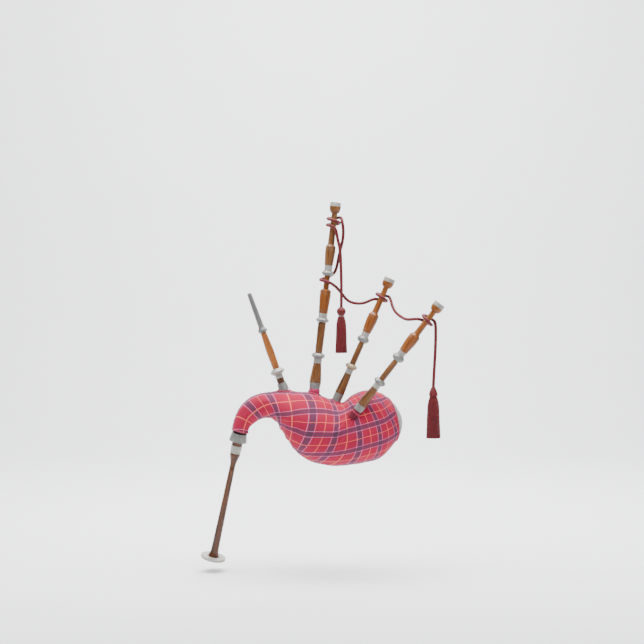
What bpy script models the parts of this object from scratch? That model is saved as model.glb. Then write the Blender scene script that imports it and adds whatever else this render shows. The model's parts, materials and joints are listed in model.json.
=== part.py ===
"""Great Highland bagpipe: bag, blowpipe, chanter, three drones, drone cord and tassels.

Sizes are in millimetres and are scaled to metres when a mesh is made. Each pipe is
drawn in its own frame: the origin is at the pipe's free end, local +Z points up the
pipe, away from the bag, and a station is a distance down the pipe from the origin.
The world origin is at the middle of the bag, +Z up, with the front of the bag at -Y.
"""
import math

import bmesh
import bpy
from mathutils import Matrix, Vector

MM = 0.001
GAP = 0.3               # clearance between touching pieces
SEGMENTS = 12           # sides of a turned piece
MERGE = 1e-5

# Pipe axes: free end and a point lower down the axis, world X, Y, Z.
BASS_AXIS = ((-12.6, 0, 682.2), (-76.5, 0, 123.6))
INNER_TENOR_AXIS = ((150, 0, 454.5), (-10.5, 0, 89.7))
OUTER_TENOR_AXIS = ((288.5, -124, 377.6), (45.3, -75.5, 57.2))
BLOWPIPE_AXIS = ((-273, 0, 410.4), (-168.9, 0, 123.6))
CHANTER_AXIS = ((-301.2, 0, -8.7), (-385.8, 53, -395.4))
TASSEL_TOPS = {"inner": (3.6, -12, 370), "outer": (269, -118, 137.4)}

DRONE_BORE = 4          # radius of the air way
PIN = 8.5               # radius of a drone's tuning pin
SOCKET = 9.1            # radius of the socket that a pin slides in
SOCKET_TENON = 10.4     # radius of the wood under a socket's ferrule and mount

# Bag: sections from the neck's mouth to the tail. Each one is its outer edge (x, z),
# its inner edge (x, z), its half thickness and the turn of its plane, in degrees.
COVER_SECTIONS = [
    ((-324, 0), (-277, -11), 25, 0),
    ((-319, 27), (-271, 7), 26, 0),
    ((-305, 63), (-256, 20), 29, 0),
    ((-277, 94), (-236, 32), 36, 0),
    ((-243, 110), (-213, 36), 44, 0),
    ((-209, 115), (-190, 26), 53, 0),
    ((-176, 117), (-171, -5), 62, 0),
    ((-136, 116), (-140, -54), 72, 0),
    ((-94, 112), (-112, -80), 79, 0),
    ((-48, 99), (-80, -97), 83, 0),
    ((2, 80), (-30, -107), 85, 0),
    ((38, 106), (22, -106), 86, 0),
    ((78, 119), (72, -98), 83, 4),
    ((118, 113), (122, -82), 74, 10),
    ((143, 98), (168, -30), 60, 16),
]
TAIL_SECTIONS = [
    ((158, 86), (177, -20), 46, 16),
    ((172, 66), (184, 2), 28, 16),
    ((181, 48), (186, 20), 12, 16),
]
RING_POINTS = 20
COVER_THICKNESS = 2
HIDE_THICKNESS = 2.5
HIDE_INSET = COVER_THICKNESS + 3.6

CORD_DIAMETER = 9
CORD_STEP = 2 * CORD_DIAMETER
EASE_STEP = 3
EASE_PASSES = 24        # how often the cord's points are averaged with their neighbours
TURN_RADIUS = 20.5      # from a pipe's axis to the route, before its bends are eased

WOOD = ("wood", (0.27, 0.13, 0.05), 0.35, 0)
DARK_WOOD = ("dark_wood", (0.13, 0.055, 0.025), 0.3, 0)
MOUNT = ("grey_mount", (0.25, 0.25, 0.26), 0.3, 0)
FERRULE = ("cream_ferrule", (0.72, 0.69, 0.63), 0.3, 0)
MOUTHPIECE = ("dark_plastic", (0.14, 0.14, 0.15), 0.4, 0)
TARTAN = ("tartan", (0.45, 0.03, 0.08), 0.9, 0)
COLLAR = ("pink_cloth", (0.62, 0.16, 0.24), 0.9, 0)
HIDE = ("hide", (0.66, 0.62, 0.58), 0.8, 0)
CORD = ("cord", (0.27, 0.02, 0.03), 0.9, 0)
REED = ("cane", (0.62, 0.45, 0.2), 0.6, 0)
HEMP = ("hemp", (0.7, 0.6, 0.35), 0.9, 0)
RUBBER = ("rubber", (0.03, 0.03, 0.03), 0.8, 0)

parts = None
cutters = None


def clear_scene():
    for thing in list(bpy.data.objects):
        bpy.data.objects.remove(thing, do_unlink=True)


def new_collection(name):
    collection = bpy.data.collections.new(name)
    bpy.context.scene.collection.children.link(collection)
    return collection


def material(spec):
    name, colour, roughness, metallic = spec
    found = bpy.data.materials.get(name)
    if found:
        return found
    made = bpy.data.materials.new(name)
    made.use_nodes = True
    shader = made.node_tree.nodes["Principled BSDF"]
    shader.inputs["Base Color"].default_value = (*colour, 1)
    shader.inputs["Roughness"].default_value = roughness
    shader.inputs["Metallic"].default_value = metallic
    return made


def add_object(name, mesh, spec, parent=None):
    thing = bpy.data.objects.new(name, mesh)
    mesh.materials.append(material(spec))
    thing.parent = parent
    parts.objects.link(thing)
    return thing


def pipe_frame(name, axis):
    """An empty at the pipe's free end: local Z up the pipe, local X to the right."""
    top = Vector(axis[0])
    up = (top - Vector(axis[1])).normalized()
    back = up.cross(Vector((1, 0, 0))).normalized()
    right = back.cross(up)
    frame = bpy.data.objects.new(name, None)
    parts.objects.link(frame)
    turn = Matrix((right, back, up)).transposed().to_4x4()
    frame.matrix_world = Matrix.Translation(top * MM) @ turn
    return frame


def turned(name, pipe, spec, outer, bore=None, segments=SEGMENTS):
    """Turn a profile of (station, radius) points about the pipe's axis.

    outer runs down the outside; bore, if any, runs back up the inside.
    """
    profile = outer + (bore or [])
    count = len(profile)
    edges = [(i, i + 1) for i in range(count - 1)]
    if bore:
        edges.append((count - 1, 0))
    mesh = bpy.data.meshes.new(name)
    mesh.from_pydata([(r * MM, 0, -s * MM) for s, r in profile], edges, [])
    thing = add_object(name, mesh, spec, pipe)
    screw = thing.modifiers.new("turn", "SCREW")
    screw.steps = screw.render_steps = segments
    screw.use_merge_vertices = True
    screw.merge_threshold = MERGE
    screw.use_smooth_shade = True
    return thing


def sleeve(name, pipe, spec, start, end, outer, inner):
    """A plain ring between two stations; outer is one radius or one for each end."""
    top, bottom = outer if isinstance(outer, tuple) else (outer, outer)
    return turned(name, pipe, spec, [(start, top), (end, bottom)], [(end, inner), (start, inner)])


def lens_mount(name, pipe, spec, start, end, radius, inner, rim):
    """A projecting mount: thin rims and its widest point part of the way down."""
    widest = start + 0.5 * (end - start)
    outer = [(start, rim), (widest - 2, radius), (widest + 2, radius), (end, rim)]
    return turned(name, pipe, spec, outer, [(end, inner), (start, inner)])


def reed(name, pipe, start, end, radius):
    """A drone reed: a stem that plugs the joint's air way and a cane body below it."""
    seat = start + 10
    outer = [(start, 0), (start, 3.3), (seat, 3.3), (seat, radius), (end, radius), (end, 0)]
    return turned(name, pipe, REED, outer, segments=8)


def make_bass(pipe):
    sleeve("bass_ring_cap", pipe, FERRULE, 0, 12.3, (16, 17), 7)
    turned("bass_top_joint", pipe, WOOD,
           [(12.6, 17), (28, 11), (32, 8.5), (127, 10), (133, 15), (150, 15.3), (189, 12.5),
            (189, SOCKET_TENON), (221, SOCKET_TENON)],
           [(221, SOCKET), (150, SOCKET), (150, DRONE_BORE), (28, DRONE_BORE), (12.6, 9)])
    sleeve("bass_top_ferrule", pipe, FERRULE, 189.3, 205.7, 11.7, SOCKET_TENON + GAP)
    lens_mount("bass_top_mount", pipe, MOUNT, 206, 221, 18, SOCKET_TENON + GAP, 13)
    turned("bass_middle_joint", pipe, WOOD,
           [(155, PIN - 1), (160, PIN - 1), (160, PIN), (260, PIN), (266, 16.5), (285, 16.5),
            (334, 13.5), (334, 11.2), (362, 11.2)],
           [(362, SOCKET), (300, SOCKET), (300, DRONE_BORE), (155, DRONE_BORE)])
    sleeve("bass_upper_pin_hemp", pipe, HEMP, 155.5, 159.7, PIN - 0.1, PIN - 0.7)
    sleeve("bass_middle_ferrule", pipe, FERRULE, 334.3, 347.7, 13.2, 11.2 + GAP)
    lens_mount("bass_middle_mount", pipe, MOUNT, 348, 362, 20, 11.2 + GAP, 14.5)
    turned("bass_bottom_joint", pipe, WOOD,
           [(303, PIN - 1), (308, PIN - 1), (308, PIN), (362.3, PIN), (362.3, 12), (454, 11),
            (454, 8.2), (490, 8.2), (490, 7.4), (510, 7.4)],
           [(510, DRONE_BORE), (303, DRONE_BORE)])
    sleeve("bass_lower_pin_hemp", pipe, HEMP, 303.5, 307.7, PIN - 0.1, PIN - 0.7)
    sleeve("bass_tenon_hemp", pipe, HEMP, 490.3, 509, 8.4, 7.7)
    lens_mount("bass_bottom_mount", pipe, MOUNT, 454.3, 470, 21, 8.2 + GAP, 15)
    reed("bass_reed", pipe, 500.3, 600, 5.5)
    turned("bass_stock", pipe, WOOD,
           [(470.3, 11), (485, 11), (485, 12.3), (543, 18), (543, 14), (620, 14)],
           [(620, 9), (470.3, 9)])
    sleeve("bass_stock_ferrule", pipe, FERRULE, 470.3, 484.7, 12.6, 11 + GAP)
    sleeve("bass_stock_ring", pipe, MOUNT, 543.3, 562, (18, 15.4), 14 + GAP)
    sleeve("bass_cover_collar", pipe, COLLAR, 562.3, 590, 16.8, 14 + GAP)


def make_tenor(name, pipe, lower_mount):
    tenon = 7.8
    stock_bore = 8.6
    sleeve(f"{name}_ring_cap", pipe, FERRULE, 0, 12, 17.5, 6)
    turned(f"{name}_top_joint", pipe, WOOD,
           [(12.3, 17.5), (20, 15.5), (27, 11), (30, 8.2), (112, 9.5), (120, 16), (140, 16.5),
            (176, 13.2), (176, SOCKET_TENON), (209, SOCKET_TENON)],
           [(209, SOCKET), (140, SOCKET), (140, DRONE_BORE), (28, DRONE_BORE), (12.3, 9)])
    sleeve(f"{name}_top_ferrule", pipe, FERRULE, 176.3, 189.7, 12, SOCKET_TENON + GAP)
    lens_mount(f"{name}_top_mount", pipe, MOUNT, 190, 209, 19, SOCKET_TENON + GAP, 13.5)
    turned(f"{name}_bottom_joint", pipe, WOOD,
           [(152, PIN - 1), (157, PIN - 1), (157, PIN), (215, PIN), (219, 9.2), (281, 9.2),
            (281, tenon), (336, tenon)],
           [(336, DRONE_BORE), (152, DRONE_BORE)])
    sleeve(f"{name}_pin_hemp", pipe, HEMP, 152.5, 156.7, PIN - 0.1, PIN - 0.7)
    lens_mount(f"{name}_bottom_mount", pipe, lower_mount, 281.3, 296, 19, tenon + GAP, 14)
    reed(f"{name}_reed", pipe, 326.3, 396, 5)
    turned(f"{name}_stock", pipe, WOOD,
           [(296.3, 9.8), (312, 9.8), (312, 11), (376, 14.5), (376, 11.5), (440, 11.5)],
           [(440, stock_bore), (296.3, stock_bore)])
    sleeve(f"{name}_stock_ferrule", pipe, FERRULE, 296.3, 311.7, 10.9, 9.8 + GAP)
    sleeve(f"{name}_stock_ring", pipe, MOUNT, 376.3, 396, (14.2, 13.6), 11.5 + GAP)


def make_blowpipe(pipe):
    turned("mouthpiece", pipe, MOUTHPIECE,
           [(0, 4.5), (3, 6.7), (109, 8.5), (119, 14.5), (125, 12), (125, 5.5), (145, 5.5)],
           [(145, 3), (0, 3)])
    turned("blowpipe", pipe, WOOD,
           [(125.3, 8.5), (180, 11.8), (240, 10.5), (240, 7.8), (300, 7.8)],
           [(300, 5), (146, 5), (146, 6), (125.3, 6)])
    lens_mount("blowpipe_mount", pipe, FERRULE, 240.3, 260, 22.3, 7.8 + GAP, 13)
    turned("blowpipe_stock", pipe, DARK_WOOD,
           [(260.3, 10.2), (271, 10.2), (271, 11.4), (286, 11.4), (286, 10.8), (350, 10.8)],
           [(350, 8.6), (260.3, 8.6)])
    sleeve("blowpipe_stock_ferrule", pipe, FERRULE, 260.3, 270.7, 11.8, 10.2 + GAP)
    sleeve("blowpipe_stock_ring", pipe, MOUNT, 286.3, 305, (14, 16), 10.8 + GAP)
    make_valve(pipe)


def make_valve(pipe):
    """The flap over the blowpipe's inner end; its origin is on its hinge, at its left edge."""
    radius = 7
    mesh = bpy.data.meshes.new("blowpipe_valve")
    flap = bmesh.new()
    middle = Matrix.Translation((radius * MM, 0, -0.6 * MM))
    bmesh.ops.create_cone(flap, cap_ends=True, segments=SEGMENTS, radius1=radius * MM,
                          radius2=radius * MM, depth=1.2 * MM, matrix=middle)
    flap.to_mesh(mesh)
    flap.free()
    thing = add_object("blowpipe_valve", mesh, RUBBER, pipe)
    thing.location = (-radius * MM, 0, -(300 + GAP) * MM)


def make_chanter(pipe):
    turned("chanter_stock", pipe, DARK_WOOD,
           [(-30, 12.6), (0, 12.6), (0, 16), (39, 16), (39, 14.3), (63, 14.3)],
           [(63, 12), (2, 12), (2, 9.5), (-30, 9.5)])
    sleeve("chanter_stock_ring", pipe, MOUNT, 0, 26, (22.8, 27.2), 16 + GAP)
    sleeve("chanter_stock_ferrule", pipe, FERRULE, 39.3, 63, (16.8, 15.8), 14.3 + GAP)
    body = turned("chanter", pipe, DARK_WOOD,
                  [(24, 11), (63.3, 11), (63.3, 15.3), (72, 15), (93, 8.8), (110, 8.3),
                   (374, 11.5), (384, 13.5), (391, 17)],
                  [(391, 9), (200, 5), (60, 2.5), (24, 2.5)], segments=16)
    make_finger_holes(body, pipe)
    sleeve("chanter_sole", pipe, FERRULE, 391.3, 399, 37.5, 9.5)
    turned("chanter_reed", pipe, REED,
           [(-14, 0), (-14, 6), (8, 3.5), (24 - GAP, 3.5), (24 - GAP, 2.2), (34, 2.2), (34, 0)],
           segments=8)


def make_finger_holes(body, pipe):
    """Seven finger holes face the back, one thumb hole the front and a sound hole each side."""
    holes = [(130 + 29 * i, 90, 2.4) for i in range(7)]
    holes += [(113, 270, 2.4), (345, 0, 3), (345, 180, 3)]
    for index, (station, bearing, radius) in enumerate(holes):
        facing = Matrix.Rotation(math.radians(bearing), 4, "Z")
        place = Matrix.Translation((0, 0, -station * MM)) @ facing
        start = Matrix.Translation((12 * MM, 0, 0)) @ Matrix.Rotation(math.radians(90), 4, "Y")
        cut(body, pipe, f"chanter_hole_cutter_{index}", radius, 16, place @ start)


def cut(target, pipe, name, radius, depth, place, segments=8):
    """Cut a round hole through target with a cylinder placed in the pipe's frame."""
    mesh = bpy.data.meshes.new(name)
    cylinder = bmesh.new()
    bmesh.ops.create_cone(cylinder, cap_ends=True, segments=segments, radius1=radius * MM,
                          radius2=radius * MM, depth=depth * MM, matrix=place)
    cylinder.to_mesh(mesh)
    cylinder.free()
    tool = bpy.data.objects.new(name, mesh)
    cutters.objects.link(tool)
    tool.parent = pipe
    tool.hide_render = True
    tool.display_type = "WIRE"
    boolean = target.modifiers.new(name, "BOOLEAN")
    boolean.operation = "DIFFERENCE"
    boolean.object = tool
    boolean.solver = "EXACT"


def section_ring(section, inset):
    """Points of one bag section, from its outer edge round the front and back."""
    outer_edge, inner_edge, half_thickness, turn = section
    top = Vector((outer_edge[0], 0, outer_edge[1]))
    bottom = Vector((inner_edge[0], 0, inner_edge[1]))
    middle = (top + bottom) / 2
    half = (top - bottom) / 2
    up = half.normalized() * (half.length - inset)
    angle = math.radians(turn)
    front = Vector((math.sin(angle), -math.cos(angle), 0)) * (half_thickness - inset)
    turns = [2 * math.pi * k / RING_POINTS for k in range(RING_POINTS)]
    return [(middle + up * math.cos(t) + front * math.sin(t)) * MM for t in turns]


def bag_shell(name, spec, sections, inset, thickness, closed_tail):
    """A shell lofted through the sections, open at the neck."""
    mesh = bpy.data.meshes.new(name)
    loft = bmesh.new()
    rings = [[loft.verts.new(p) for p in section_ring(s, inset)] for s in sections]
    for first, second in zip(rings, rings[1:]):
        for k in range(RING_POINTS):
            after = (k + 1) % RING_POINTS
            loft.faces.new((first[k], first[after], second[after], second[k]))
    if closed_tail:
        loft.faces.new(rings[-1])
    loft.to_mesh(mesh)
    loft.free()
    shell = add_object(name, mesh, spec)
    wall = shell.modifiers.new("wall", "SOLIDIFY")
    wall.thickness = thickness * MM
    wall.offset = -1
    return shell


def make_bag(pipes):
    cover = bag_shell("bag_cover", TARTAN, COVER_SECTIONS, 0, COVER_THICKNESS, False)
    hide = bag_shell("hide_bag", HIDE, COVER_SECTIONS + TAIL_SECTIONS, HIDE_INSET,
                     HIDE_THICKNESS, True)
    # Pipe, station where it enters, radius through the cover, radius through the hide.
    stocks = [("bass", 580, 17.4, 17.4), ("inner_tenor", 406, 12.1, 12.1),
              ("outer_tenor", 416, 15.6, 15.6), ("blowpipe", 314, 11.4, 11.4)]
    for name, station, cover_hole, hide_hole in stocks:
        place = Matrix.Translation((0, 0, -station * MM))
        cut(cover, pipes[name], f"{name}_cover_cutter", cover_hole, 70, place, SEGMENTS)
        cut(hide, pipes[name], f"{name}_hide_cutter", hide_hole, 70, place, SEGMENTS)


def turn_points(pipe, start, end, from_bearing, sweep):
    """Points on a turn of the cord round a pipe; bearing 0 is right, 90 is behind."""
    steps = max(1, round(abs(sweep) / 45))
    points = []
    for i in range(steps + 1):
        share = i / steps
        bearing = math.radians(from_bearing + sweep * share)
        station = start + (end - start) * share
        local = Vector((TURN_RADIUS * math.cos(bearing), TURN_RADIUS * math.sin(bearing), -station))
        points.append(pipe.matrix_world @ (local * MM) / MM)
    return points


def cord_route(pipes):
    """The cord from the inner tassel, round the bass and both tenors, to the outer tassel."""
    inner = Vector(TASSEL_TOPS["inner"]) + Vector((0, 0, GAP))
    outer = Vector(TASSEL_TOPS["outer"]) + Vector((0, 0, GAP))
    route = [inner, (4, -12, 420), (3, -12, 480), (0, -13, 540), (-8, -14, 574)]
    route += turn_points(pipes["bass"], 75, 41, 290, -650)
    route += [(6, -13, 627), (10, -9, 601), (9, -2, 573), (2, 4, 545), (-5, 4, 513)]
    route += [(-10, 10, 487)]
    route += [(-19, 22, 468), (-38, 26, 459), (-60, 12, 452)]
    route += [(-56, -10, 449), (-40, -16, 446), (-20, -12, 436), (-3, 3, 420), (10, 6, 404)]
    route += [(22, 5, 388), (45, 3, 380), (72, 4, 380), (90, 9, 389)]
    route += turn_points(pipes["inner_tenor"], 73, 50, 150, -510)
    route += [(160, -24, 360), (178, -42, 341), (196, -80, 331), (213, -106, 333)]
    route += turn_points(pipes["outer_tenor"], 72, 50, 150, -510)
    route += [(276, -118, 298), (275, -119, 250), (272, -118, 193), outer]
    return [Vector(point) for point in route]


def even_points(line, step):
    """Points about step apart along a line."""
    total = sum((b - a).length for a, b in zip(line, line[1:]))
    count = round(total / step)
    points = [line[0]]
    travelled = 0
    for a, b in zip(line, line[1:]):
        length = (b - a).length
        while len(points) < count and travelled + length >= total * len(points) / count:
            points.append(a.lerp(b, (total * len(points) / count - travelled) / length))
        travelled += length
    return points + [line[-1]]


def smooth_curve(route, step):
    """Even points, step apart, along a Catmull-Rom curve through the route, its bends eased."""
    fine = []
    ends = [2 * route[0] - route[1]] + route + [2 * route[-1] - route[-2]]
    for before, a, b, after in zip(ends, ends[1:], ends[2:], ends[3:]):
        for i in range(12):
            t = i / 12
            fine.append(0.5 * (2 * a + (b - before) * t
                               + (2 * before - 5 * a + 4 * b - after) * t ** 2
                               + (3 * a - before - 3 * b + after) * t ** 3))
    points = even_points(fine + [route[-1]], EASE_STEP)
    for _ in range(EASE_PASSES):
        inner = [(a + 2 * b + c) / 4 for a, b, c in zip(points, points[1:], points[2:])]
        points = [points[0]] + inner + [points[-1]]
    return even_points(points, step)


def make_cord(pipes):
    points = smooth_curve(cord_route(pipes), CORD_STEP)
    curve = bpy.data.curves.new("drone_cord", "CURVE")
    curve.dimensions = "3D"
    curve.bevel_depth = CORD_DIAMETER / 2 * MM
    curve.bevel_resolution = 2
    curve.use_fill_caps = True
    spline = curve.splines.new("POLY")
    spline.points.add(len(points) - 1)
    for knot, point in zip(spline.points, points):
        knot.co = (*(point * MM), 1)
    add_object("drone_cord", curve, CORD)


def make_tassels():
    for name, top in TASSEL_TOPS.items():
        below = (top[0], top[1], top[2] - 1)
        frame = pipe_frame(f"{name}_tassel", (top, below))
        if name == "inner":
            knot = [(0, 0), (0, 0.5), (4, 6), (8, 12), (14, 14), (22, 12), (28, 8), (28, 0)]
            skirt = [(28.3, 0), (28.3, 8), (38, 13), (125, 17.5), (139, 15), (139, 0)]
        else:
            knot = [(0, 0), (0, 0.5), (4, 5.5), (10, 9), (22, 13), (28, 13), (28, 0)]
            skirt = [(28.3, 0), (28.3, 9.5), (40, 11), (151, 20.5), (151, 0)]
        turned(f"{name}_tassel_knot", frame, CORD, knot)
        turned(f"{name}_tassel_skirt", frame, CORD, skirt)


def main():
    global parts, cutters
    clear_scene()
    parts = new_collection("bagpipes")
    cutters = new_collection("cutters")
    axes = {"bass": BASS_AXIS, "inner_tenor": INNER_TENOR_AXIS, "outer_tenor": OUTER_TENOR_AXIS,
            "blowpipe": BLOWPIPE_AXIS, "chanter": CHANTER_AXIS}
    pipes = {name: pipe_frame(f"{name}_axis", axis) for name, axis in axes.items()}
    bpy.context.view_layer.update()
    make_bass(pipes["bass"])
    make_tenor("inner_tenor", pipes["inner_tenor"], FERRULE)
    make_tenor("outer_tenor", pipes["outer_tenor"], MOUNT)
    sleeve("outer_tenor_cover_collar", pipes["outer_tenor"], COLLAR, 396.3, 424, 15,
           11.5 + GAP)
    make_blowpipe(pipes["blowpipe"])
    make_chanter(pipes["chanter"])
    make_bag(pipes)
    make_cord(pipes)
    make_tassels()


main()
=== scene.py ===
"""The looks of the bagpipes: fine turned wood, horn and ivory, tartan bag, cord and tassels.

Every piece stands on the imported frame. A pipe has a frame of its own: the origin at its
free end, local Z up the pipe, local X to the right; a station is the distance down it.
"""
import json
import math
import random
from contextlib import contextmanager

import bmesh
import bpy
import numpy as np
from mathutils import Matrix, Vector, noise
from mathutils.bvhtree import BVHTree


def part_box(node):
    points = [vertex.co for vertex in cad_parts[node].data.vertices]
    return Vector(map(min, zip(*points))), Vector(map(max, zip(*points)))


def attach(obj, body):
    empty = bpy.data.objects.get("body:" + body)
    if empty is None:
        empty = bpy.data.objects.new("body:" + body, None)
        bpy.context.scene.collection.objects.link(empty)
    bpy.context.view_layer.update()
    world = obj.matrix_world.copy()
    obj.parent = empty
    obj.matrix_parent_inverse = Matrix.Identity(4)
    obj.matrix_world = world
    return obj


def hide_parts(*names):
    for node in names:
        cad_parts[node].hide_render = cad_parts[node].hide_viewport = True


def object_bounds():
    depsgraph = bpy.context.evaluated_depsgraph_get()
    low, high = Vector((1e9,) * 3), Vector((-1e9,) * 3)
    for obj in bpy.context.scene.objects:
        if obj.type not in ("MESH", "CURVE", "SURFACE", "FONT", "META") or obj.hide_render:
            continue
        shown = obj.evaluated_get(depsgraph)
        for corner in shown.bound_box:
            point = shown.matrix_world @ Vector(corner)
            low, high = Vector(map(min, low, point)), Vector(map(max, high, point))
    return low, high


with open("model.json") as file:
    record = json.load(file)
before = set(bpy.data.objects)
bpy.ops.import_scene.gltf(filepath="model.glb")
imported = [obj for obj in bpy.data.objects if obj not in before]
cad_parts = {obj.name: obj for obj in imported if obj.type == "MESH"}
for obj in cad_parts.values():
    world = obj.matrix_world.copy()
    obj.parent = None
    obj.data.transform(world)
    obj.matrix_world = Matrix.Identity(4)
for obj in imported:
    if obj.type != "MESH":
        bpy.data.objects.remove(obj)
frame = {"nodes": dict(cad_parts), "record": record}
cad_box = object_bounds()

MM = 0.001
CAMERA_DISTANCE = 3.6
VIEW_WIDTH = 1.932          # width seen at the bag, in metres
VIEW_CENTRE = (-0.054, 0.324)
SENSOR_WIDTH = 36
LAMP_AIM = (-0.05, 0, 0.15)
BACKDROP_AIM = (0, 4.6, 0.2)
LAMPS = [  # name, place, power in watts, size, and what it is aimed at
    ("key", (-1.8, -2.6, 2.6), 40, 1.6, LAMP_AIM),
    ("fill", (2.4, -2.2, 1.2), 17, 2.2, LAMP_AIM),
    ("rim", (0.6, 2.4, 2.4), 24, 1.8, LAMP_AIM),
    ("backdrop", (0, 0.4, 3.6), 820, 4.0, BACKDROP_AIM),
]
WORLD_COLOUR = (0.95, 0.96, 1.0, 1)
WORLD_STRENGTH = 0.42
FLOOR_GAP = 30 * MM         # between the floor and the lowest CAD point
FLOOR_REACH = 9.0
FLOOR_BEND_START = 3.2      # how far behind the pipes the floor curves up into the wall
FLOOR_BEND = 1.5

LATHE_SIDES = 72
FINE_SIDES = 96             # for the chanter and the knots
COLLAR_SIDES = 144
SHARP_TURN = math.radians(34)
CORNER_STEPS = 5
NECK_RADIUS = 9 * MM        # below a drone's bell
BELL_STEPS = 8
LENS_POWER = 1.35           # 1 gives two cones, 2 a round rim
EDGE_RADIUS = 0.7 * MM
SOFT_RADIUS = 5 * MM

CORD_DIAMETER = 0.009
CORD_STEP = 1.5 * MM
EASE_STEP = 3 * MM
EASE_PASSES = 24            # how often the cord's points are averaged with their neighbours
CORD_TURN_RADIUS = 20.5 * MM    # from a pipe's axis to the route, before its bends are eased
CORD_LAY = 0.027            # length in which a strand of the cord goes once round
CORD_INTO_KNOT = 0.011      # how far the cord goes on inside each knot
THREAD_LAY = 7 * MM         # the same as CORD_LAY for hems and ties
THREAD_STEP = 1.2 * MM
CORE_SHARE = 0.985          # of the skirt's length
TIE_TURNS = 3
TIE_STEPS = 40              # in one turn of the thread round a collar
TIE_PITCH = 1.3 * MM
TIE_RADIUS = 0.8 * MM
YARN_STEPS = 14
BAND_STEPS = 48
YARN_LAYERS = ((1.0, 72, 0.00105), (0.86, 54, 0.0011), (0.68, 36, 0.0012))  # reach, count, size

RECORD = frame["record"]
JOINTS = {joint["name"]: joint for joint in RECORD["behaviour"]["joints"]}
BODY_OF = {node: body for body, nodes in RECORD["behaviour"]["bodies"].items() for node in nodes}
SLOT_OF = {part["node"]: part["material_slot"] for part in RECORD["subparts"]}


# ---------------------------------------------------------------- pipes' frames

def local_vertices(node, matrix):
    """A CAD node's vertices in a pipe's frame."""
    inverse = matrix.inverted()
    return [inverse @ vertex.co for vertex in frame["nodes"][node].data.vertices]


def pipe_frame(joint, top_node):
    """The pipe's frame, with its origin on the joint's axis at the top of top_node."""
    up = Vector(JOINTS[joint]["axis"]).normalized()
    back = up.cross(Vector((1, 0, 0))).normalized()
    right = back.cross(up)
    matrix = Matrix((right, back, up)).transposed().to_4x4()
    matrix.translation = Vector(JOINTS[joint]["pos_m"])
    top = max(v.z for v in local_vertices(top_node, matrix))
    return matrix @ Matrix.Translation((0, 0, top))


PIPES = {
    "bass": pipe_frame("bass_turn", "bass_ring_cap"),
    "inner_tenor": pipe_frame("inner_tenor_turn", "inner_tenor_ring_cap"),
    "outer_tenor": pipe_frame("outer_tenor_turn", "outer_tenor_ring_cap"),
    "blowpipe": pipe_frame("blowpipe_turn", "mouthpiece"),
    "chanter": pipe_frame("chanter_turn", "chanter_stock_ring"),
}


def pipe_of(node):
    """The frame of the pipe that a node belongs to."""
    if node in ("mouthpiece", "blowpipe_valve"):
        return PIPES["blowpipe"]
    return next(matrix for name, matrix in PIPES.items() if node.startswith(name))


# ---------------------------------------------------------------- materials

def srgb(code):
    """A display colour such as B53052 as linear red, green, blue, alpha."""
    parts = [int(code[i:i + 2], 16) / 255 for i in (0, 2, 4)]
    linear = [c / 12.92 if c <= 0.04045 else ((c + 0.055) / 1.055) ** 2.4 for c in parts]
    return (*linear, 1)


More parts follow.
